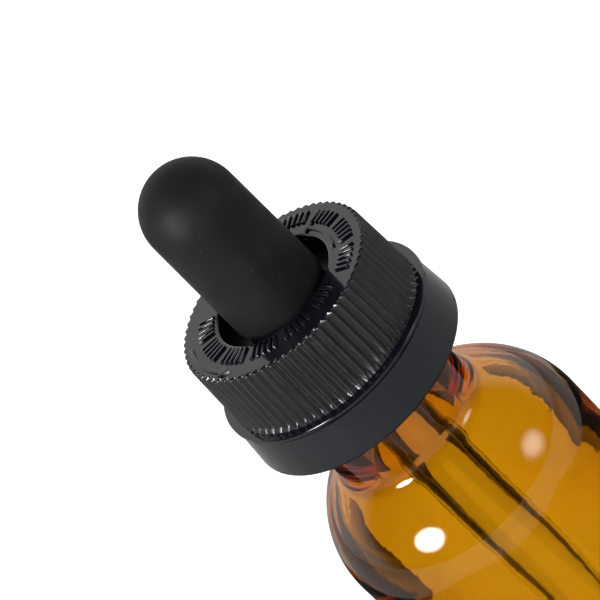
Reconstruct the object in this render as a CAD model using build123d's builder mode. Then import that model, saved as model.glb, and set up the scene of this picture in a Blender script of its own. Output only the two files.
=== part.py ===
"""A 30 ml amber glass dropper bottle with a push-and-turn child-resistant closure.

Millimetres, +Z up, the origin at the middle of the base. Five pieces: the glass bottle, the
glass pipette, the rubber bulb that it hangs from, the threaded inner cap that clamps the
bulb's flange on the mouth, and the ribbed outer shell that turns the inner cap only while
it is pushed down.
"""

from build123d import *
import math
import os

# Bottle: a round glass body with a 20-400 neck finish
BODY_RADIUS = 16.5
BOTTLE_HEIGHT = 79.0
GLASS_WALL = 2.2
SHOULDER_RADIUS = 11.7
NECK_LENGTH = 18.8
NECK_FILLET = 2.2
BORE_FILLET = 4.0
BASE_EDGE_RADIUS = 2.2
BASE_DISH_DEPTH = 1.2
FLOOR_THICKNESS = 3.2
MOUTH_BORE_RADIUS = 5.8
MOUTH_EDGE = 0.4
FINISH_LENGTH = 9.4
NECK_STEP = 0.5
THREAD_ROOT_RADIUS = 8.75
THREAD_DEPTH = 1.05
THREAD_PITCH = 3.175
THREAD_TURNS = 1.1
THREAD_BASE_WIDTH = 1.7
THREAD_TIP_WIDTH = 0.9
THREAD_BELOW_MOUTH = 6.6
THREAD_ROOT_SINK = 0.3

# Bulb: a rubber teat with a flange under the inner cap's deck
BULB_RADIUS = 5.85
BULB_TOP_RADIUS = 5.7
BULB_ABOVE_MOUTH = 24.7
BULB_WALL = 1.4
FLANGE_RADIUS = 8.2
FLANGE_THICKNESS = 1.2
BULB_STEM_RADIUS = 5.2
BULB_STEM_FILLET = 2.2

# Pipette: a drawn glass tube with a narrowed tip
PIPETTE_RADIUS = 3.5
PIPETTE_WALL = 1.0
TIP_ABOVE_FLOOR = 6.8
PIPETTE_INTO_BULB = 5.5
PIPETTE_FIT = 0.05
TIP_LENGTH = 12.0
TIP_RADIUS = 1.6
TIP_BORE_RADIUS = 0.7

# Inner cap: deck, threaded skirt, foot flange and ratchet lugs
DECK_THICKNESS = 1.1
DECK_HOLE_CLEARANCE = 0.3
THREAD_CLEARANCE = 0.3
SKIRT_WALL = 1.0
SKIRT_LENGTH = 9.9
FOOT_STEP = 0.85
FOOT_HEIGHT = 0.8
CAP_THREAD_REACH = 0.95
CAP_THREAD_BASE_WIDTH = 1.3
CAP_THREAD_TIP_WIDTH = 0.7
CAP_THREAD_TURNS = 1.1
LUG_COUNT = 12
LUG_INNER_RADIUS = 8.4
LUG_LENGTH = 2.0
LUG_WIDTH = 1.4
LUG_HEIGHT = 0.85

# Outer shell: the free-turning ribbed cap with a smooth lower band
PUSH_TRAVEL = 0.95
PUSH_CLEARANCE = 0.1
SHELL_GAP = 0.3
SHELL_TOP_THICKNESS = 1.2
TOP_HOLE_RADIUS = 7.45
TOP_HOLE_EDGE = 0.3
SHELL_WALL = 0.9
RIB_DRAFT = 0.4
RIB_LENGTH = 8.75
RIB_COUNT = 70
RIB_DEPTH = 0.34
RIB_OVERRUN = 2.0
RIB_LAND_SHARE = 0.2
LEDGE_WIDTH = 1.0
LEDGE_LIP_HEIGHT = 0.5
LEDGE_LIP_REACH = 0.25
BAND_FOOT_WALL = 1.7
BAND_HEIGHT = 6.15
BAND_EDGE = 0.25
BAND_WALL = 1.3
SNAP_BEAD_REACH = 0.45
SNAP_BEAD_HEIGHT = 0.5

# Raised marks on the shell's top face: plain bars and two curved arrows
MARK_HEIGHT = 0.25
MARK_SINK = 0.1
BAR_WIDTH = 0.36
BAR_PITCH_ANGLE = 4.6
BARS_IN_GROUP = 5
INNER_BARS = (7.9, 10.0, 145, 297)
OUTER_BARS = (9.1, 10.9, 313, 415)
ARROW_WIDTH = 0.45
ARROW_HEAD = 1.5
OUTER_ARROW = (11.1, 165, 206)
INNER_ARROW = (8.35, 340, 385)

# How near an edge lies to the place it is picked by
EDGE_TOLERANCE = 0.01

# Heights that follow from the sizes above
neck_radius = THREAD_ROOT_RADIUS + NECK_STEP
thread_crest = THREAD_ROOT_RADIUS + THREAD_DEPTH
neck_foot = BOTTLE_HEIGHT - NECK_LENGTH
finish_foot = BOTTLE_HEIGHT - FINISH_LENGTH
finish_step_foot = finish_foot - NECK_STEP
arc_centre_radius = BODY_RADIUS - SHOULDER_RADIUS
arc_rise = math.sqrt(SHOULDER_RADIUS**2 - (neck_radius - arc_centre_radius) ** 2)
shoulder_foot = neck_foot - arc_rise
flange_top = BOTTLE_HEIGHT + FLANGE_THICKNESS
deck_top = flange_top + DECK_THICKNESS
ceiling = deck_top + PUSH_TRAVEL + PUSH_CLEARANCE + LUG_HEIGHT
shell_top = ceiling + SHELL_TOP_THICKNESS
ledge = shell_top - RIB_LENGTH
band_foot = ledge - BAND_HEIGHT
skirt_foot = deck_top - DECK_THICKNESS - SKIRT_LENGTH
bulb_top = BOTTLE_HEIGHT + BULB_ABOVE_MOUTH
pipette_top = BOTTLE_HEIGHT + PIPETTE_INTO_BULB
tip_foot = FLOOR_THICKNESS + TIP_ABOVE_FLOOR
skirt_bore = thread_crest + THREAD_CLEARANCE
skirt_radius = skirt_bore + SKIRT_WALL
foot_radius = skirt_radius + FOOT_STEP
shell_bore = skirt_radius + SHELL_GAP
band_bore = foot_radius + SHELL_GAP
rib_top_radius = shell_bore + SHELL_WALL
rib_foot_radius = rib_top_radius + RIB_DRAFT
ledge_radius = rib_foot_radius + LEDGE_WIDTH
band_foot_radius = band_bore + BAND_FOOT_WALL
thread_foot = BOTTLE_HEIGHT - THREAD_BELOW_MOUTH


def half_section(points):
    """The closed half section through these (radius, height) points."""
    with BuildSketch(Plane.XZ) as section:
        with BuildLine():
            Polyline(*points, close=True)
        make_face()
    return section.sketch


def thread(root, tip, foot, turns, base_width, tip_width):
    """Sweeps one ridge along a helix that starts at height foot over the +X axis.

    The ridge reaches from the root radius to the tip radius, outwards or inwards, and is
    sunk a little behind its root so that it grows out of the wall.
    """
    sink = math.copysign(THREAD_ROOT_SINK, root - tip)
    with BuildPart() as ridge:
        with BuildLine() as path:
            Helix(pitch=THREAD_PITCH, height=turns * THREAD_PITCH, radius=root, center=(0, 0, foot))
        with BuildSketch(Plane(origin=(root, 0, foot), x_dir=(1, 0, 0), z_dir=path.line % 0)):
            with BuildLine():
                Polyline(
                    (sink, -base_width / 2),
                    (0, -base_width / 2),
                    (tip - root, -tip_width / 2),
                    (tip - root, tip_width / 2),
                    (0, base_width / 2),
                    (sink, base_width / 2),
                    close=True,
                )
            make_face()
        sweep(path=path.line, is_frenet=True)
    return ridge.part


def circles_at(piece, height, radius):
    """The piece's round edges at this height and of this radius."""
    level = piece.edges().filter_by(GeomType.CIRCLE).filter_by_position(
        Axis.Z, height - EDGE_TOLERANCE, height + EDGE_TOLERANCE
    )
    return level.filter_by(lambda edge: abs(edge.radius - radius) < EDGE_TOLERANCE)


def lug_ring(height, first_angle):
    """The plan of the ring of ratchet lugs at this height, the first one at this angle."""
    with BuildSketch(Plane.XY.offset(height)) as lugs:
        with PolarLocations(LUG_INNER_RADIUS + LUG_LENGTH / 2, LUG_COUNT, start_angle=first_angle):
            Rectangle(LUG_LENGTH, LUG_WIDTH)
    return lugs.sketch


def polar_point(radius, angle):
    """The point at this radius and angle in degrees."""
    return (radius * math.cos(math.radians(angle)), radius * math.sin(math.radians(angle)))


def bar_ring(inner, outer, first, last):
    """The plan of one ring of raised radial bars, in groups with one bar left out between."""
    with BuildSketch(Plane.XY.offset(shell_top - MARK_SINK)) as bars:
        for index in range(int((last - first) / BAR_PITCH_ANGLE) + 1):
            if index % (BARS_IN_GROUP + 1) < BARS_IN_GROUP:
                with PolarLocations((inner + outer) / 2, 1, start_angle=first + index * BAR_PITCH_ANGLE):
                    Rectangle(outer - inner, BAR_WIDTH)
    return bars.sketch


def curved_arrow(radius, first, last):
    """The plan of one raised arrow along an arc, with its head past the last angle."""
    head_angle = math.degrees(ARROW_HEAD / radius)
    with BuildSketch(Plane.XY.offset(shell_top - MARK_SINK)) as arrow:
        with BuildLine():
            CenterArc((0, 0), radius + ARROW_WIDTH / 2, first, last - first)
            CenterArc((0, 0), radius - ARROW_WIDTH / 2, first, last - first)
            for angle in (first, last):
                Line(
                    polar_point(radius - ARROW_WIDTH / 2, angle),
                    polar_point(radius + ARROW_WIDTH / 2, angle),
                )
        make_face()
        with BuildLine():
            Polyline(
                polar_point(radius + ARROW_HEAD / 2, last),
                polar_point(radius - ARROW_HEAD / 2, last),
                polar_point(radius, last + head_angle),
                close=True,
            )
        make_face()
    return arrow.sketch


# Bottle
bottle_thread = thread(
    THREAD_ROOT_RADIUS,
    thread_crest,
    thread_foot,
    THREAD_TURNS,
    THREAD_BASE_WIDTH,
    THREAD_TIP_WIDTH,
)
inner_radius = BODY_RADIUS - GLASS_WALL
inner_shoulder = SHOULDER_RADIUS - GLASS_WALL
inner_rise = math.sqrt(inner_shoulder**2 - (MOUTH_BORE_RADIUS - arc_centre_radius) ** 2)
with BuildPart() as bottle:
    with BuildSketch(Plane.XZ):
        with BuildLine():
            Line((0, BASE_DISH_DEPTH), (0, shoulder_foot))
            Line((0, shoulder_foot), (0, BOTTLE_HEIGHT))
            Line((0, BOTTLE_HEIGHT), (THREAD_ROOT_RADIUS, BOTTLE_HEIGHT))
            Line((THREAD_ROOT_RADIUS, BOTTLE_HEIGHT), (THREAD_ROOT_RADIUS, finish_foot))
            Line((THREAD_ROOT_RADIUS, finish_foot), (neck_radius, finish_step_foot))
            Line((neck_radius, finish_step_foot), (neck_radius, neck_foot))
            RadiusArc((neck_radius, neck_foot), (BODY_RADIUS, shoulder_foot), SHOULDER_RADIUS)
            Line((BODY_RADIUS, shoulder_foot), (BODY_RADIUS, 0))
            Line((BODY_RADIUS, 0), (BODY_RADIUS - 2 * BASE_EDGE_RADIUS, 0))
            Line((BODY_RADIUS - 2 * BASE_EDGE_RADIUS, 0), (0, BASE_DISH_DEPTH))
        make_face()
    revolve(axis=Axis.Z)
    neck_seam = circles_at(bottle, neck_foot, neck_radius)
    fillet(neck_seam, NECK_FILLET)
    base_rim = bottle.edges().group_by(Axis.Z)[0].sort_by(SortBy.LENGTH)[-1]
    fillet(base_rim, BASE_EDGE_RADIUS)
    with BuildSketch(Plane.XZ):
        with BuildLine():
            Line((0, FLOOR_THICKNESS), (inner_radius - BASE_EDGE_RADIUS, FLOOR_THICKNESS))
            RadiusArc(
                (inner_radius - BASE_EDGE_RADIUS, FLOOR_THICKNESS),
                (inner_radius, FLOOR_THICKNESS + BASE_EDGE_RADIUS),
                -BASE_EDGE_RADIUS,
            )
            Line((inner_radius, FLOOR_THICKNESS + BASE_EDGE_RADIUS), (inner_radius, shoulder_foot))
            RadiusArc(
                (inner_radius, shoulder_foot),
                (MOUTH_BORE_RADIUS, shoulder_foot + inner_rise),
                -inner_shoulder,
            )
            Line((MOUTH_BORE_RADIUS, shoulder_foot + inner_rise), (MOUTH_BORE_RADIUS, BOTTLE_HEIGHT))
            Line((MOUTH_BORE_RADIUS, BOTTLE_HEIGHT), (0, BOTTLE_HEIGHT))
            Line((0, BOTTLE_HEIGHT), (0, FLOOR_THICKNESS))
        make_face()
    revolve(axis=Axis.Z, mode=Mode.SUBTRACT)
    fillet(circles_at(bottle, shoulder_foot + inner_rise, MOUTH_BORE_RADIUS), BORE_FILLET)
    mouth_rims = bottle.edges().group_by(Axis.Z)[-1]
    fillet(mouth_rims, MOUTH_EDGE)
    add(bottle_thread)

# Pipette
bore_radius = PIPETTE_RADIUS - PIPETTE_WALL
with BuildPart() as pipette:
    tube_section = half_section(
        [
            (bore_radius, pipette_top),
            (PIPETTE_RADIUS, pipette_top),
            (PIPETTE_RADIUS, tip_foot + TIP_LENGTH),
            (TIP_RADIUS, tip_foot),
            (TIP_BORE_RADIUS, tip_foot),
            (bore_radius, tip_foot + TIP_LENGTH),
        ]
    )
    revolve(tube_section, axis=Axis.Z)
    top_rims = pipette.edges().group_by(Axis.Z)[-1]
    fillet(top_rims, PIPETTE_WALL / 4)

# Bulb
with BuildPart() as bulb:
    with BuildSketch(Plane.XZ):
        with BuildLine():
            Line((0, BOTTLE_HEIGHT), (FLANGE_RADIUS, BOTTLE_HEIGHT))
            Line((FLANGE_RADIUS, BOTTLE_HEIGHT), (FLANGE_RADIUS, flange_top))
            Line((FLANGE_RADIUS, flange_top), (BULB_STEM_RADIUS, flange_top))
            Line((BULB_STEM_RADIUS, flange_top), (BULB_STEM_RADIUS, deck_top))
            Spline(
                (BULB_STEM_RADIUS, deck_top),
                (BULB_RADIUS, deck_top + BULB_STEM_FILLET),
                tangents=[(0.6, 1), (0, 1)],
            )
            Line((BULB_RADIUS, deck_top + BULB_STEM_FILLET), (BULB_TOP_RADIUS, bulb_top - BULB_TOP_RADIUS))
            RadiusArc((BULB_TOP_RADIUS, bulb_top - BULB_TOP_RADIUS), (0, bulb_top), -BULB_TOP_RADIUS)
            Line((0, bulb_top), (0, BOTTLE_HEIGHT))
        make_face()
    revolve(axis=Axis.Z)
    air_radius = BULB_TOP_RADIUS - BULB_WALL
    with BuildSketch(Plane.XZ):
        with BuildLine():
            Line((0, BOTTLE_HEIGHT), (PIPETTE_RADIUS + PIPETTE_FIT, BOTTLE_HEIGHT))
            Line(
                (PIPETTE_RADIUS + PIPETTE_FIT, BOTTLE_HEIGHT),
                (PIPETTE_RADIUS + PIPETTE_FIT, pipette_top + BULB_WALL / 2),
            )
            Line(
                (PIPETTE_RADIUS + PIPETTE_FIT, pipette_top + BULB_WALL / 2),
                (air_radius, pipette_top + 2 * BULB_WALL),
            )
            Line((air_radius, pipette_top + 2 * BULB_WALL), (air_radius, bulb_top - BULB_TOP_RADIUS))
            RadiusArc((air_radius, bulb_top - BULB_TOP_RADIUS), (0, bulb_top - BULB_WALL), -air_radius)
            Line((0, bulb_top - BULB_WALL), (0, BOTTLE_HEIGHT))
        make_face()
    revolve(axis=Axis.Z, mode=Mode.SUBTRACT)

# Inner cap
cap_thread = thread(
    skirt_bore,
    skirt_bore - CAP_THREAD_REACH,
    thread_foot - THREAD_PITCH / 2,
    CAP_THREAD_TURNS,
    CAP_THREAD_BASE_WIDTH,
    CAP_THREAD_TIP_WIDTH,
)
deck_hole = BULB_STEM_RADIUS + DECK_HOLE_CLEARANCE
with BuildPart() as inner_cap:
    cap_section = half_section(
        [
            (deck_hole, flange_top),
            (skirt_bore, flange_top),
            (skirt_bore, skirt_foot),
            (foot_radius, skirt_foot),
            (foot_radius, skirt_foot + FOOT_HEIGHT),
            (skirt_radius, skirt_foot + FOOT_HEIGHT + FOOT_STEP),
            (skirt_radius, deck_top),
            (deck_hole, deck_top),
        ]
    )
    revolve(cap_section, axis=Axis.Z)
    extrude(lug_ring(deck_top, 0), amount=LUG_HEIGHT)
    add(cap_thread)

# Outer shell
rib_slant = math.atan2(rib_foot_radius - rib_top_radius, RIB_LENGTH)
rib_pitch = 2 * math.pi * rib_foot_radius / RIB_COUNT
groove_half_width = rib_pitch * (1 - RIB_LAND_SHARE) / 2
lug_gap_angle = 180 / LUG_COUNT
with BuildPart() as groove:
    slant_axis = (-math.sin(rib_slant), 0, math.cos(rib_slant))
    with BuildSketch(Plane(origin=(rib_foot_radius, 0, ledge), x_dir=(0, 1, 0), z_dir=slant_axis)):
        with BuildLine():
            Polyline(
                (-groove_half_width - RIB_DEPTH, -RIB_DEPTH),
                (-groove_half_width, 0),
                (0, RIB_DEPTH),
                (groove_half_width, 0),
                (groove_half_width + RIB_DEPTH, -RIB_DEPTH),
                close=True,
            )
        make_face()
    extrude(amount=RIB_LENGTH + RIB_OVERRUN)

bead_top = skirt_foot - PUSH_CLEARANCE
with BuildPart() as outer_shell:
    shell_section = half_section(
        [
            (TOP_HOLE_RADIUS, shell_top),
            (rib_top_radius, shell_top),
            (rib_foot_radius, ledge),
            (ledge_radius, ledge),
            (ledge_radius, ledge - LEDGE_LIP_HEIGHT),
            (ledge_radius - LEDGE_LIP_REACH, ledge - LEDGE_LIP_HEIGHT - LEDGE_LIP_REACH),
            (band_foot_radius, band_foot),
            (band_bore, band_foot),
            (band_bore - SNAP_BEAD_REACH, bead_top - SNAP_BEAD_HEIGHT),
            (band_bore - SNAP_BEAD_REACH, bead_top),
            (band_bore, bead_top),
            (band_bore, ledge - BAND_WALL),
            (shell_bore, ledge - BAND_WALL + band_bore - shell_bore),
            (shell_bore, ceiling),
            (TOP_HOLE_RADIUS, ceiling),
        ]
    )
    revolve(shell_section, axis=Axis.Z)
    with PolarLocations(0, RIB_COUNT):
        add(groove.part, mode=Mode.SUBTRACT)
    extrude(lug_ring(ceiling, lug_gap_angle), amount=-LUG_HEIGHT)
    fillet(circles_at(outer_shell, shell_top, TOP_HOLE_RADIUS), TOP_HOLE_EDGE)
    fillet(circles_at(outer_shell, band_foot, band_foot_radius), BAND_EDGE)
    fillet(circles_at(outer_shell, ledge, ledge_radius), BAND_EDGE)
    for bars in (INNER_BARS, OUTER_BARS):
        extrude(bar_ring(*bars), amount=MARK_SINK + MARK_HEIGHT)
    for arrow in (OUTER_ARROW, INNER_ARROW):
        extrude(curved_arrow(*arrow), amount=MARK_SINK + MARK_HEIGHT)

os.makedirs("parts", exist_ok=True)
bottle.part.label = "bottle"
export_step(bottle.part, "parts/bottle.step")
pipette.part.label = "pipette"
export_step(pipette.part, "parts/pipette.step")
bulb.part.label = "bulb"
export_step(bulb.part, "parts/bulb.step")
inner_cap.part.label = "inner_cap"
export_step(inner_cap.part, "parts/inner_cap.step")
outer_shell.part.label = "outer_shell"
export_step(outer_shell.part, "parts/outer_shell.step")
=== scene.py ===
"""An amber glass dropper bottle with a ribbed push-and-turn closure, seen from above its bulb."""

import math

import bmesh
import bpy
from mathutils import Matrix, Vector, noise


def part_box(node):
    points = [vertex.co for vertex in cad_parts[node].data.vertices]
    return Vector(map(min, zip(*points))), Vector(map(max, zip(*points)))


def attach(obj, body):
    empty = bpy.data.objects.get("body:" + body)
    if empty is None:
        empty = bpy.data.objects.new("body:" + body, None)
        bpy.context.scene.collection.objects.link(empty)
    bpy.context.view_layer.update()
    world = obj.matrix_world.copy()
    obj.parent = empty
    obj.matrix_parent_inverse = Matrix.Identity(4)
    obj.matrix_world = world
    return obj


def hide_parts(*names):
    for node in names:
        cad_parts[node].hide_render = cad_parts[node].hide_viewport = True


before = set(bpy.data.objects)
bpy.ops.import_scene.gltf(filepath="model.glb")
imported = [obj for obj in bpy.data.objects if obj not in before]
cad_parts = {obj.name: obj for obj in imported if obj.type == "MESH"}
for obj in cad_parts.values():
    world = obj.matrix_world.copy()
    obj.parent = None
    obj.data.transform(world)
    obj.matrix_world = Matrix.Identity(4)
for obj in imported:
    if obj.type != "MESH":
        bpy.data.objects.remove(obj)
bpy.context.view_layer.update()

MM = 0.001

# Heights and radii read from the frame, in millimetres
node_box = {name: [[v / MM for v in corner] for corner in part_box(name)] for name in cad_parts}
mouth_top = node_box["bottle"][1][2]
body_radius = node_box["bottle"][1][0]
bulb_top = node_box["bulb"][1][2]
flange_radius = node_box["bulb"][1][0]
pipette_foot = node_box["pipette"][0][2]
pipette_top = node_box["pipette"][1][2]
pipette_radius = node_box["pipette"][1][0]
band_foot = node_box["outer_shell"][0][2]
band_radius = node_box["outer_shell"][1][0]
MARK_HEIGHT = 0.25
shell_top = node_box["outer_shell"][1][2] - MARK_HEIGHT

# Glass
GLASS_WALL = 2.2
SHOULDER_RADIUS = 11.7
NECK_LENGTH = 18.8
NECK_RADIUS = 9.25
NECK_FILLET = 2.2
BORE_FILLET = 4.0
BASE_EDGE_RADIUS = 2.2
BASE_DISH_DEPTH = 1.2
FLOOR_THICKNESS = 3.2
BORE_RADIUS = 5.8
FINISH_LENGTH = 9.4
THREAD_ROOT = 8.75
THREAD_DEPTH = 1.05
THREAD_PITCH = 3.175
THREAD_TURNS = 1.1
THREAD_BELOW_MOUTH = 6.6
THREAD_WIDTH = 1.7
WALL_WAVE = 0.28
WAVE_FADE = 3

# Closure
RIB_COUNT = 70
STEPS_PER_RIB = 14
RIB_DEPTH = 0.4
RIB_LENGTH = 8.75
RIB_TOP_RADIUS = 12.3
RIB_FOOT_RADIUS = 12.7
HOLE_RADIUS = 7.45
SHELL_TOP_THICKNESS = 1.2
LEDGE_RADIUS = 13.7
LIP_HEIGHT = 0.5
LIP_REACH = 0.25
BAND_BORE = 12.25
SHELL_BORE = 11.4
BAND_WALL = 1.3
BAR_WIDTH = 0.42
BAR_PITCH_ANGLE = 4.6
BARS_IN_GROUP = 5
INNER_BARS = (7.9, 10.0, 145, 297)
OUTER_BARS = (9.1, 10.9, 313, 415)
ARROW_WIDTH = 0.45
ARROW_HEAD = 1.5
OUTER_ARROW = (11.1, 165, 206)
INNER_ARROW = (8.35, 340, 385)
ARROW_STEPS = 16
MARK_SINK = 0.1
MARK_BEVEL = 0.09

# Bulb and pipette
BULB_RADIUS = 5.85
BULB_TOP_RADIUS = 5.7
BULB_WALL = 1.4
FLANGE_THICKNESS = 1.2
DECK_THICKNESS = 1.1
STEM_RADIUS = 5.2
STEM_RISE = 2.2
PIPETTE_WALL = 1.0
PIPETTE_FIT = 0.05
TIP_LENGTH = 12.0
TIP_RADIUS = 1.6
TIP_BORE = 0.7

# Stage, in metres
CARD_HEIGHT = 0.002
BLACK = 0.01
NEAR_CARD_X = (0.033, 0.1)
FAR_CARD_X = (0.1, 1.0)

# Camera, in millimetres and degrees
CAMERA_DISTANCE = 378.5
CAMERA_ELEVATION = 30.88
CAMERA_ROLL = -45.1
AIM_RIGHT = 1.35
AIM_ABOVE_LEDGE = 5.39

ledge = shell_top - RIB_LENGTH
ceiling = shell_top - SHELL_TOP_THICKNESS


# Shapes
def rounded(corners, closed=False):
    """The outline through (radius, height, fillet) corners, each fillet an arc of short steps."""
    outline = []
    count = len(corners)
    for index, (r, z, fillet) in enumerate(corners):
        here = Vector((r, z))
        if fillet == 0 or (not closed and index in (0, count - 1)):
            outline.append((r, z))
            continue
        before = Vector(corners[index - 1][:2]) - here
        after = Vector(corners[(index + 1) % count][:2]) - here
        turn = math.pi - before.angle(after)
        reach = min(fillet * math.tan(turn / 2), before.length * 0.49, after.length * 0.49)
        radius = reach / math.tan(turn / 2)
        start = here + before.normalized() * reach
        end = here + after.normalized() * reach
        middle = before.normalized() + after.normalized()
        centre = here + middle.normalized() * math.hypot(radius, reach)
        steps = max(3, int(math.degrees(turn) / 9))
        first = start - centre
        last = end - centre
        sweep = first.angle_signed(last)
        for step in range(steps + 1):
            angle = -sweep * step / steps
            turned = Vector(
                (
                    first.x * math.cos(angle) - first.y * math.sin(angle),
                    first.x * math.sin(angle) + first.y * math.cos(angle),
                )
            )
            outline.append(tuple(centre + turned))
    return outline


def arc(centre, radius, first, last, steps):
    """Points on a circle about centre, from the first to the last angle in degrees."""
    points = []
    for step in range(steps + 1):
        angle = math.radians(first + (last - first) * step / steps)
        points.append((centre[0] + radius * math.cos(angle), centre[1] + radius * math.sin(angle)))
    return points


def divided(outline, longest, closed=False):
    """The outline with every run cut into steps no longer than longest."""
    points = []
    pairs = list(zip(outline, outline[1:] + outline[:1]))
    for (r0, z0), (r1, z1) in pairs if closed else pairs[:-1]:
        steps = max(1, math.ceil(math.hypot(r1 - r0, z1 - z0) / longest))
        for step in range(steps):
            points.append((r0 + (r1 - r0) * step / steps, z0 + (z1 - z0) * step / steps))
    return points if closed else points + [outline[-1]]


def lathe(name, outline, segments, closed=False, shape=None):
    """Turns an outline, in millimetres, about Z. shape(r, z, angle) may give a changed (r, z)."""
    mesh = bmesh.new()
    rings = []
    for r, z in outline:
        if r < 1e-6:
            rings.append([mesh.verts.new((0, 0, z * MM))])
            continue
        ring = []
        for index in range(segments):
            angle = 2 * math.pi * index / segments
            radius, height = shape(r, z, angle) if shape else (r, z)
            place = (radius * math.cos(angle) * MM, radius * math.sin(angle) * MM, height * MM)
            ring.append(mesh.verts.new(place))
        rings.append(ring)
    pairs = list(zip(rings, rings[1:] + rings[:1]))
    for low, high in pairs if closed else pairs[:-1]:
        for index in range(segments):
            following = (index + 1) % segments
            corners = [low[index % len(low)], low[following % len(low)]]
            corners += [high[following % len(high)], high[index % len(high)]]
            unique = list(dict.fromkeys(corners))
            if len(unique) > 2:
                mesh.faces.new(unique)
    bmesh.ops.recalc_face_normals(mesh, faces=mesh.faces)
    return as_object(name, mesh)


def as_object(name, mesh):
    """Makes a smooth-shaded object from a bmesh."""
    data = bpy.data.meshes.new(name)
    mesh.to_mesh(data)
    mesh.free()
    data.shade_smooth()
    piece = bpy.data.objects.new(name, data)
    bpy.context.scene.collection.objects.link(piece)
    return piece


# Materials
def new_material(name):
    """An empty node material with its Principled shader and its node and link makers."""
    material = bpy.data.materials.new(name)
    material.use_nodes = True
    tree = material.node_tree
    shader = tree.nodes["Principled BSDF"]
    return material, tree, shader


def noise_ramp(tree, scale, low, high):
    """A noise in object space, mapped to the range from low to high."""
    texture = tree.nodes.new("ShaderNodeTexNoise")
    texture.inputs["Scale"].default_value = scale
    texture.inputs["Detail"].default_value = 4.0
    coordinates = tree.nodes.new("ShaderNodeTexCoord")
    tree.links.new(coordinates.outputs["Object"], texture.inputs["Vector"])
    span = tree.nodes.new("ShaderNodeMapRange")
    span.inputs["From Min"].default_value = 0.3
    span.inputs["From Max"].default_value = 0.7
    span.inputs["To Min"].default_value = low
    span.inputs["To Max"].default_value = high
    tree.links.new(texture.outputs["Fac"], span.inputs["Value"])
    return span.outputs["Result"]


def add_bump(tree, shader, scale, strength, distance):
    """A fine bump from noise on the shader's normal."""
    bump = tree.nodes.new("ShaderNodeBump")
    bump.inputs["Strength"].default_value = strength
    bump.inputs["Distance"].default_value = distance
    tree.links.new(noise_ramp(tree, scale, 0.0, 1.0), bump.inputs["Height"])
    tree.links.new(bump.outputs["Normal"], shader.inputs["Normal"])


def colour_mix(tree, factor, first, second):
    """A colour between two by a factor socket."""
    mix = tree.nodes.new("ShaderNodeMix")
    mix.data_type = "RGBA"
    mix.inputs["A"].default_value = (*first, 1)
    mix.inputs["B"].default_value = (*second, 1)
    tree.links.new(factor, mix.inputs["Factor"])
    return mix.outputs["Result"]


def glass(name, tint, absorption, density, wave):
    """Clear glass with absorption in its depth and a faintly uneven surface."""
    material, tree, shader = new_material(name)
    shader.inputs["Base Color"].default_value = (1, 1, 1, 1)
    shader.inputs["Transmission Weight"].default_value = 1.0
    shader.inputs["IOR"].default_value = 1.52
    shader.inputs["Specular Tint"].default_value = (*tint, 1)
    tree.links.new(noise_ramp(tree, 90, 0.0, 0.03), shader.inputs["Roughness"])
    add_bump(tree, shader, 160, wave, 0.0002)
    volume = tree.nodes.new("ShaderNodeVolumeAbsorption")
    volume.inputs["Color"].default_value = (*absorption, 1)
    volume.inputs["Density"].default_value = density
    tree.links.new(volume.outputs["Volume"], tree.nodes["Material Output"].inputs["Volume"])
    return material


def black_plastic(name, dark, light, rough_low, rough_high, grain):
    """Moulded black plastic: faint mottling in its colour and gloss, with a fine grain."""
    material, tree, shader = new_material(name)
    base = colour_mix(tree, noise_ramp(tree, 400, 0, 1), dark, light)
    tree.links.new(base, shader.inputs["Base Color"])
    tree.links.new(noise_ramp(tree, 700, rough_low, rough_high), shader.inputs["Roughness"])
    add_bump(tree, shader, 2500, grain, 0.00002)
    return material


def black_rubber(name):
    """Matt black rubber with a soft bloom, a fine grain and a few specks of dust."""
    material, tree, shader = new_material(name)
    base = colour_mix(tree, noise_ramp(tree, 220, 0, 1), (0.006, 0.006, 0.0065), (0.011, 0.011, 0.012))
    specks = tree.nodes.new("ShaderNodeTexVoronoi")
    specks.inputs["Scale"].default_value = 700
    coordinates = tree.nodes.new("ShaderNodeTexCoord")
    tree.links.new(coordinates.outputs["Object"], specks.inputs["Vector"])
    near = tree.nodes.new("ShaderNodeMapRange")
    near.inputs["From Min"].default_value = 0.07
    near.inputs["From Max"].default_value = 0.03
    near.inputs["To Max"].default_value = 0.25
    tree.links.new(specks.outputs["Distance"], near.inputs["Value"])
    dusty = tree.nodes.new("ShaderNodeMix")
    dusty.data_type = "RGBA"
    dusty.inputs["B"].default_value = (0.25, 0.25, 0.25, 1)
    tree.links.new(near.outputs["Result"], dusty.inputs["Factor"])
    tree.links.new(base, dusty.inputs["A"])
    tree.links.new(dusty.outputs["Result"], shader.inputs["Base Color"])
    tree.links.new(noise_ramp(tree, 500, 0.5, 0.62), shader.inputs["Roughness"])
    shader.inputs["Specular IOR Level"].default_value = 0.12
    add_bump(tree, shader, 3000, 0.25, 0.00002)
    return material


amber_glass = glass("amber_glass", (1.0, 0.92, 0.8), (0.935, 0.79, 0.0), 1300, 0.1)
clear_glass = glass("clear_glass", (1, 1, 1), (0.9, 0.95, 0.93), 60, 0.03)
gloss_black = black_plastic(
    "gloss_black_plastic", (0.002, 0.003, 0.005), (0.005, 0.006, 0.009), 0.05, 0.11, 0.06
)
satin_black = black_plastic(
    "satin_black_plastic", (0.006, 0.006, 0.007), (0.011, 0.011, 0.012), 0.3, 0.4, 0.3
)
inner_black = black_plastic(
    "inner_black_plastic", (0.01, 0.01, 0.01), (0.02, 0.02, 0.02), 0.4, 0.55, 0.3
)
rubber = black_rubber("black_rubber")


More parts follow.
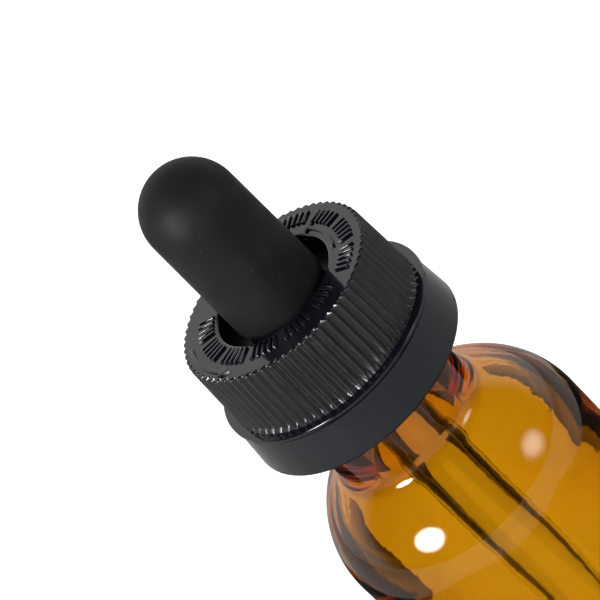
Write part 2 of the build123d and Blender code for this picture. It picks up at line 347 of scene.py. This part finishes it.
# Bottle
def thread_shape(r, z, angle):
    """Raises the right-hand thread on the neck, and makes the inner wall gently uneven."""
    if r > THREAD_ROOT - 0.01 and z > mouth_top - FINISH_LENGTH and r < THREAD_ROOT + 0.01:
        start = mouth_top - THREAD_BELOW_MOUTH
        raised = 0.0
        for turn in range(-1, 3):
            along = turn + angle / (2 * math.pi)
            if 0 <= along <= THREAD_TURNS:
                off = abs(z - start - along * THREAD_PITCH)
                ends = min(1, along / 0.06, (THREAD_TURNS - along) / 0.06)
                side = 1 - max(0.0, min(1.0, (off - THREAD_WIDTH / 4) / (THREAD_WIDTH / 3)))
                raised = max(raised, side * side * (3 - 2 * side) * ends)
        return r + THREAD_DEPTH * raised, z
    if is_inner(r, z):
        place = Vector((math.cos(angle) * 1.6, math.sin(angle) * 1.6, z * 0.07))
        away_from_bore = min(1.0, max(0.0, (r - BORE_RADIUS) / WAVE_FADE))
        return r + WALL_WAVE * away_from_bore * noise.noise(place), z
    return r, z


def is_inner(r, z):
    """True where this point of the bottle's outline lies on its inner wall."""
    if z < FLOOR_THICKNESS:
        return False
    if z < shoulder_foot:
        return r < body_radius - GLASS_WALL / 2
    if z > mouth_top - FINISH_LENGTH:
        return False
    in_neck = r < (BORE_RADIUS + NECK_RADIUS) / 2
    return in_neck or math.hypot(r - arc_centre, z - shoulder_foot) < SHOULDER_RADIUS - GLASS_WALL / 2


def neck_curve(wall, curve, fillet):
    """The angle where the shoulder's curve is left for the neck's wall, and the fillet between them."""
    across = wall + fillet - arc_centre
    rise = math.sqrt((curve + fillet) ** 2 - across**2)
    leave = math.degrees(math.atan2(rise, across))
    return leave, arc((wall + fillet, shoulder_foot + rise), fillet, leave + 180, 180, 10)


neck_foot = mouth_top - NECK_LENGTH
arc_centre = body_radius - SHOULDER_RADIUS
shoulder_foot = neck_foot - math.sqrt(SHOULDER_RADIUS**2 - (NECK_RADIUS - arc_centre) ** 2)
neck_angle, outer_fillet = neck_curve(NECK_RADIUS, SHOULDER_RADIUS, NECK_FILLET)
bore_angle, inner_fillet = neck_curve(BORE_RADIUS, SHOULDER_RADIUS - GLASS_WALL, BORE_FILLET)
shoulder = arc((arc_centre, shoulder_foot), SHOULDER_RADIUS, 0, neck_angle, 40) + outer_fillet[1:]
inner_curve = arc((arc_centre, shoulder_foot), SHOULDER_RADIUS - GLASS_WALL, bore_angle, 0, 40)
inner_shoulder = inner_fillet[::-1] + inner_curve[1:]
lower_outline = rounded(
    [
        (0, BASE_DISH_DEPTH, 0),
        (body_radius - 2.4 * BASE_EDGE_RADIUS, BASE_DISH_DEPTH * 0.55, 3),
        (body_radius - 1.6 * BASE_EDGE_RADIUS, 0, 0.8),
        (body_radius, 0, BASE_EDGE_RADIUS),
        (body_radius, shoulder_foot, 0),
    ]
)
upper_outline = rounded(
    [
        (*shoulder[-1], 0),
        (NECK_RADIUS, mouth_top - FINISH_LENGTH - 0.5, 0.3),
        (THREAD_ROOT, mouth_top - FINISH_LENGTH, 0.2),
        (THREAD_ROOT, mouth_top, 0.4),
        (BORE_RADIUS, mouth_top, 0.4),
        (*inner_shoulder[0], 0),
    ]
)
floor_outline = rounded(
    [
        (body_radius - GLASS_WALL, shoulder_foot, 0),
        (body_radius - GLASS_WALL, FLOOR_THICKNESS, 3.2),
        (body_radius - GLASS_WALL - 7, FLOOR_THICKNESS, 3),
        (0, FLOOR_THICKNESS, 0),
    ]
)
outer_outline = lower_outline + shoulder[1:] + upper_outline[1:]
bottle_outline = outer_outline + inner_shoulder[1:] + floor_outline[1:]
bottle_shell = lathe("bottle_glass", divided(bottle_outline, 0.35), 240, shape=thread_shape)
bottle_shell.data.materials.append(amber_glass)
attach(bottle_shell, "glass_bottle")
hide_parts("bottle")

# Pipette
tube_outline = rounded(
    [
        (pipette_radius - PIPETTE_WALL, pipette_top, 0.25),
        (pipette_radius, pipette_top, 0.25),
        (pipette_radius, pipette_foot + TIP_LENGTH, 4),
        (TIP_RADIUS, pipette_foot, 0.25),
        (TIP_BORE, pipette_foot, 0.25),
        (pipette_radius - PIPETTE_WALL, pipette_foot + TIP_LENGTH, 4),
    ],
    closed=True,
)
pipette_tube = lathe("pipette_glass", divided(tube_outline, 2.0, closed=True), 96, closed=True)
pipette_tube.data.materials.append(clear_glass)
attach(pipette_tube, "dropper_tube")
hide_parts("pipette")

# Bulb
flange_top = mouth_top + FLANGE_THICKNESS
deck_top = flange_top + DECK_THICKNESS
dome_foot = bulb_top - BULB_TOP_RADIUS
air_radius = BULB_TOP_RADIUS - BULB_WALL
bulb_outline = (
    arc((0, dome_foot), BULB_TOP_RADIUS, 90, 0, 24)[:-1]
    + rounded(
        [
            (BULB_TOP_RADIUS, dome_foot, 0),
            (BULB_RADIUS, deck_top + STEM_RISE, 2.5),
            (STEM_RADIUS, deck_top, 0.4),
            (STEM_RADIUS, flange_top, 0.2),
            (flange_radius, flange_top, 0.3),
            (flange_radius, mouth_top, 0.3),
            (pipette_radius + PIPETTE_FIT, mouth_top, 0.3),
            (pipette_radius + PIPETTE_FIT, pipette_top + 0.7, 0.4),
            (air_radius, pipette_top + 2.8, 1),
            (air_radius, dome_foot, 0),
        ]
    )
    + arc((0, dome_foot), air_radius, 0, 90, 16)[1:]
)
bulb_outline[0] = (0, bulb_outline[0][1])
bulb_outline[-1] = (0, bulb_outline[-1][1])
bulb_skin = lathe("bulb_rubber", divided(bulb_outline, 0.8), 128)
bulb_skin.data.materials.append(rubber)
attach(bulb_skin, "squeeze_bulb")
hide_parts("bulb")


# Outer shell
def ribbed(r, z, angle):
    """Presses the grooves between the ribs into the upper wall, up to its rounded top edge."""
    wall = RIB_FOOT_RADIUS + (RIB_TOP_RADIUS - RIB_FOOT_RADIUS) * (z - ledge) / RIB_LENGTH
    if z < ledge + 0.01 or r < wall - 0.45:
        return r, z
    into_wall = min(1.0, max(0.0, (r - wall + 0.45) / 0.3))
    wave = 0.5 - 0.5 * math.cos(RIB_COUNT * angle)
    return r - RIB_DEPTH * into_wall * wave**0.8, z


shell_outline = rounded(
    [
        (HOLE_RADIUS, shell_top, 0.3),
        (RIB_TOP_RADIUS, shell_top, 0.35),
        (RIB_FOOT_RADIUS, ledge, 0.0),
        (LEDGE_RADIUS, ledge, 0.15),
        (LEDGE_RADIUS, ledge - LIP_HEIGHT, 0.15),
        (LEDGE_RADIUS - LIP_REACH, ledge - LIP_HEIGHT - LIP_REACH, 0.2),
        (band_radius, band_foot, 0.3),
        (BAND_BORE, band_foot, 0.3),
        (BAND_BORE, ledge - BAND_WALL, 0.3),
        (SHELL_BORE, ledge - BAND_WALL + 0.85, 0.3),
        (SHELL_BORE, ceiling, 0.3),
        (HOLE_RADIUS, ceiling, 0.2),
    ],
    closed=True,
)
shell_steps = divided(shell_outline, 0.45, closed=True)
shell_wall = lathe("shell_wall", shell_steps, RIB_COUNT * STEPS_PER_RIB, closed=True, shape=ribbed)
shell_wall.data.set_sharp_from_angle(angle=math.radians(50))
shell_wall.data.materials.append(gloss_black)
shell_wall.data.materials.append(satin_black)
for face in shell_wall.data.polygons:
    height = face.center.z / MM
    out = math.hypot(face.center.x, face.center.y) / MM
    if ledge + 0.02 < height < shell_top - 0.12 and out > SHELL_BORE + 0.2:
        face.material_index = 1
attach(shell_wall, "push_shell")
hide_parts("outer_shell")


def raise_outline(mesh, points, foot, height):
    """Adds a prism on a closed outline of (x, y) points in millimetres."""
    low = [mesh.verts.new((x * MM, y * MM, foot * MM)) for x, y in points]
    high = [mesh.verts.new((x * MM, y * MM, (foot + height) * MM)) for x, y in points]
    mesh.faces.new(high)
    mesh.faces.new(list(reversed(low)))
    count = len(points)
    for index in range(count):
        following = (index + 1) % count
        mesh.faces.new([low[index], low[following], high[following], high[index]])


def polar(radius, angle):
    """The (x, y) point at this radius and angle in degrees."""
    return (radius * math.cos(math.radians(angle)), radius * math.sin(math.radians(angle)))


def add_bars(mesh, ring):
    """Adds the raised bars of one ring, in groups with one bar left out between them."""
    inner, outer, first, last = ring
    for index in range(int((last - first) / BAR_PITCH_ANGLE) + 1):
        if index % (BARS_IN_GROUP + 1) == BARS_IN_GROUP:
            continue
        angle = first + index * BAR_PITCH_ANGLE
        across = Vector(polar(BAR_WIDTH / 2, angle + 90))
        near, far = Vector(polar(inner, angle)), Vector(polar(outer, angle))
        points = [near - across, far - across, far + across, near + across]
        raise_outline(mesh, points, shell_top - MARK_SINK, MARK_HEIGHT + MARK_SINK)


def add_arrow(mesh, arrow):
    """Adds one raised curved arrow whose head lies past its last angle."""
    radius, first, last = arrow
    angles = [first + (last - first) * step / ARROW_STEPS for step in range(ARROW_STEPS + 1)]
    half = ARROW_WIDTH / 2
    points = [polar(radius - half, angle) for angle in angles[::-1]]
    points += [polar(radius + half, angle) for angle in angles]
    points += [polar(radius + ARROW_HEAD / 2, last)]
    points += [polar(radius, last + math.degrees(ARROW_HEAD / radius))]
    points += [polar(radius - ARROW_HEAD / 2, last)]
    raise_outline(mesh, points[::-1], shell_top - MARK_SINK, MARK_HEIGHT + MARK_SINK)


marks_mesh = bmesh.new()
for ring in (INNER_BARS, OUTER_BARS):
    add_bars(marks_mesh, ring)
for arrow in (OUTER_ARROW, INNER_ARROW):
    add_arrow(marks_mesh, arrow)
bmesh.ops.recalc_face_normals(marks_mesh, faces=marks_mesh.faces)
shell_marks = as_object("shell_marks", marks_mesh)
bevel = shell_marks.modifiers.new("soft_edges", "BEVEL")
bevel.width = MARK_BEVEL * MM
bevel.segments = 3
bevel.limit_method = "ANGLE"
shell_marks.data.materials.append(gloss_black)
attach(shell_marks, "push_shell")

# The inner cap keeps its CAD shape
inner_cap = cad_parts["inner_cap"]
inner_cap.data.materials.clear()
inner_cap.data.materials.append(inner_black)


# Floor, world and lamps
def ray_strength(tree, for_camera, for_glass, for_gloss, for_matt):
    """A strength for each kind of ray: the first that is true of the ray counts."""
    path = tree.nodes.new("ShaderNodeLightPath")
    strength = for_matt
    kinds = (
        ("Is Glossy Ray", for_gloss),
        ("Is Transmission Ray", for_glass),
        ("Is Camera Ray", for_camera),
    )
    for output, value in kinds:
        choice = tree.nodes.new("ShaderNodeMix")
        tree.links.new(path.outputs[output], choice.inputs["Factor"])
        for socket, amount in (("A", strength), ("B", value)):
            if isinstance(amount, float):
                choice.inputs[socket].default_value = amount
            else:
                tree.links.new(amount, choice.inputs[socket])
        strength = choice.outputs["Result"]
    return strength


def make_floor():
    """A wide white sheet under the bottle. It glows for the camera and hardly for glass."""
    mesh = bmesh.new()
    bmesh.ops.create_grid(mesh, x_segments=1, y_segments=1, size=20)
    sheet = as_object("floor", mesh)
    material, tree, shader = new_material("white_sheet")
    shader.inputs["Base Color"].default_value = (0.8, 0.8, 0.8, 1)
    shader.inputs["Roughness"].default_value = 0.8
    glow = tree.nodes.new("ShaderNodeEmission")
    both = tree.nodes.new("ShaderNodeAddShader")
    tree.links.new(ray_strength(tree, 0.6, 0.05, 0.35, 0.0), glow.inputs["Strength"])
    tree.links.new(shader.outputs["BSDF"], both.inputs[0])
    tree.links.new(glow.outputs["Emission"], both.inputs[1])
    tree.links.new(both.outputs["Shader"], tree.nodes["Material Output"].inputs["Surface"])
    sheet.data.materials.append(material)


def darker_towards(tree, direction, low, high, strength):
    """A strength for world rays that falls to almost nothing towards one direction."""
    coordinates = tree.nodes.new("ShaderNodeTexCoord")
    along = tree.nodes.new("ShaderNodeVectorMath")
    along.operation = "DOT_PRODUCT"
    along.inputs[1].default_value = direction
    tree.links.new(coordinates.outputs["Generated"], along.inputs[0])
    fall = tree.nodes.new("ShaderNodeMapRange")
    fall.interpolation_type = "SMOOTHSTEP"
    fall.inputs["From Min"].default_value = low
    fall.inputs["From Max"].default_value = high
    fall.inputs["To Min"].default_value = strength
    fall.inputs["To Max"].default_value = 0.03
    tree.links.new(along.outputs["Value"], fall.inputs["Value"])
    return fall.outputs["Result"]


def make_world():
    """A white surround, dark above and in front for glass and mirrors, dimmer for matt surfaces."""
    world = bpy.data.worlds.new("white_surround")
    world.use_nodes = True
    bpy.context.scene.world = world
    tree = world.node_tree
    background = tree.nodes["Background"]
    background.inputs["Color"].default_value = (1, 1, 1, 1)
    seen_through = darker_towards(tree, (0, -0.5, 0.86), 0.0, 0.25, 1.0)
    mirrored = darker_towards(tree, (0, -0.8, 0.6), -0.2, 0.05, 0.95)
    strength = ray_strength(tree, 1.0, seen_through, mirrored, 0.5)
    tree.links.new(strength, background.inputs["Strength"])


def add_lamp(name, place, size, power):
    """A soft square lamp at place, in metres, that faces the closure and shows in no mirror."""
    data = bpy.data.lights.new(name, "AREA")
    data.size = size
    data.energy = power
    lamp = bpy.data.objects.new(name, data)
    lamp.location = place
    aim = Vector((0, 0, ledge * MM)) - Vector(place)
    lamp.rotation_euler = aim.to_track_quat("-Z", "Y").to_euler()
    lamp.visible_glossy = False
    lamp.visible_transmission = False
    bpy.context.scene.collection.objects.link(lamp)


def add_panel(name, place, width, height, strength):
    """A glowing soft box at place that only mirrors and glass see, fading towards its rim."""
    mesh = bmesh.new()
    bmesh.ops.create_grid(mesh, x_segments=1, y_segments=1, size=0.5)
    panel = as_object(name, mesh)
    panel.scale = (width, height, 1)
    panel.location = place
    aim = Vector((0, 0, ledge * MM)) - Vector(place)
    panel.rotation_euler = aim.to_track_quat("Z", "Y").to_euler()
    material, tree, shader = new_material(name + "_glow")
    tree.nodes.remove(shader)
    coordinates = tree.nodes.new("ShaderNodeTexCoord")
    length = tree.nodes.new("ShaderNodeVectorMath")
    length.operation = "LENGTH"
    tree.links.new(coordinates.outputs["Object"], length.inputs[0])
    fade = tree.nodes.new("ShaderNodeMapRange")
    fade.interpolation_type = "SMOOTHSTEP"
    fade.inputs["From Min"].default_value = 0.5
    fade.inputs["From Max"].default_value = 0.1
    fade.inputs["To Max"].default_value = strength
    tree.links.new(length.outputs["Value"], fade.inputs["Value"])
    glow = tree.nodes.new("ShaderNodeEmission")
    tree.links.new(fade.outputs["Result"], glow.inputs["Strength"])
    clear = tree.nodes.new("ShaderNodeBsdfTransparent")
    both = tree.nodes.new("ShaderNodeAddShader")
    tree.links.new(glow.outputs["Emission"], both.inputs[0])
    tree.links.new(clear.outputs["BSDF"], both.inputs[1])
    tree.links.new(both.outputs["Shader"], tree.nodes["Material Output"].inputs["Surface"])
    panel.data.materials.append(material)
    hide_from_camera(panel)
    panel.visible_transmission = False


def add_card(name, low, high, height, tone, mirrored):
    """A card that lies flat from low to high (x, y): mirrors alone see it, or glass alone."""
    mesh = bmesh.new()
    corners = [(low[0], low[1]), (high[0], low[1]), (high[0], high[1]), (low[0], high[1])]
    mesh.faces.new([mesh.verts.new((x, y, height)) for x, y in corners])
    card = as_object(name, mesh)
    material, tree, shader = new_material(name + "_paper")
    shader.inputs["Base Color"].default_value = (tone, tone, tone, 1)
    shader.inputs["Roughness"].default_value = 0.9
    card.data.materials.append(material)
    hide_from_camera(card)
    card.visible_glossy = mirrored
    card.visible_transmission = not mirrored


def hide_from_camera(thing):
    """Hides this thing from the camera and from matt surfaces, and it throws no shadow."""
    thing.visible_camera = False
    thing.visible_diffuse = False
    thing.visible_shadow = False
    thing.visible_volume_scatter = False


def make_camera():
    """The camera above the bulb, rolled so that the bottle leans across the frame."""
    distance = CAMERA_DISTANCE * MM
    elevation = math.radians(CAMERA_ELEVATION)
    roll = math.radians(CAMERA_ROLL)
    aim = Vector((AIM_RIGHT, 0, ledge + AIM_ABOVE_LEDGE)) * MM
    data = bpy.data.cameras.new("camera")
    data.sensor_width = 36
    data.lens = 210
    camera = bpy.data.objects.new("camera", data)
    bpy.context.scene.collection.objects.link(camera)
    direction = Vector((0, -math.cos(elevation), math.sin(elevation)))
    place = direction * distance + Vector((0, 0, ledge * MM))
    back = (place - aim).normalized()
    right = Vector((0, 0, 1)).cross(back).normalized()
    up = back.cross(right)
    rolled_right = math.cos(roll) * right + math.sin(roll) * up
    rolled_up = math.cos(roll) * up - math.sin(roll) * right
    turn = Matrix((rolled_right, rolled_up, back)).transposed()
    camera.matrix_world = Matrix.Translation(place) @ turn.to_4x4()
    bpy.context.scene.camera = camera


make_floor()
make_world()
add_lamp("key", (-0.5, -0.3, 0.6), 0.4, 5)
add_lamp("fill", (0.5, -0.4, 0.3), 0.4, 2)
add_panel("key_panel", (-0.55, -0.36, 0.36), 0.36, 0.36, 90)
add_panel("fill_panel", (0.64, -0.36, 0.27), 0.42, 0.42, 7)
for side in (-1, 1):
    near_x = sorted(side * x for x in NEAR_CARD_X)
    far_x = sorted(side * x for x in FAR_CARD_X)
    add_card(f"near_card_{side}", (near_x[0], -0.12), (near_x[1], 0.16), CARD_HEIGHT, BLACK, False)
    add_card(f"far_card_{side}", (far_x[0], -0.12), (far_x[1], 0.6), CARD_HEIGHT, BLACK, False)
add_card("front_card", (-1.0, -1.0), (1.0, -0.12), CARD_HEIGHT, BLACK, False)
add_card("grey_card", (-1.0, -1.0), (1.0, 0.4), 0.001, 0.42, True)
add_card("dark_card", (-0.09, -0.09), (0.09, 0.09), 0.003, BLACK, True)
make_camera()
bpy.context.scene.view_settings.view_transform = "Standard"
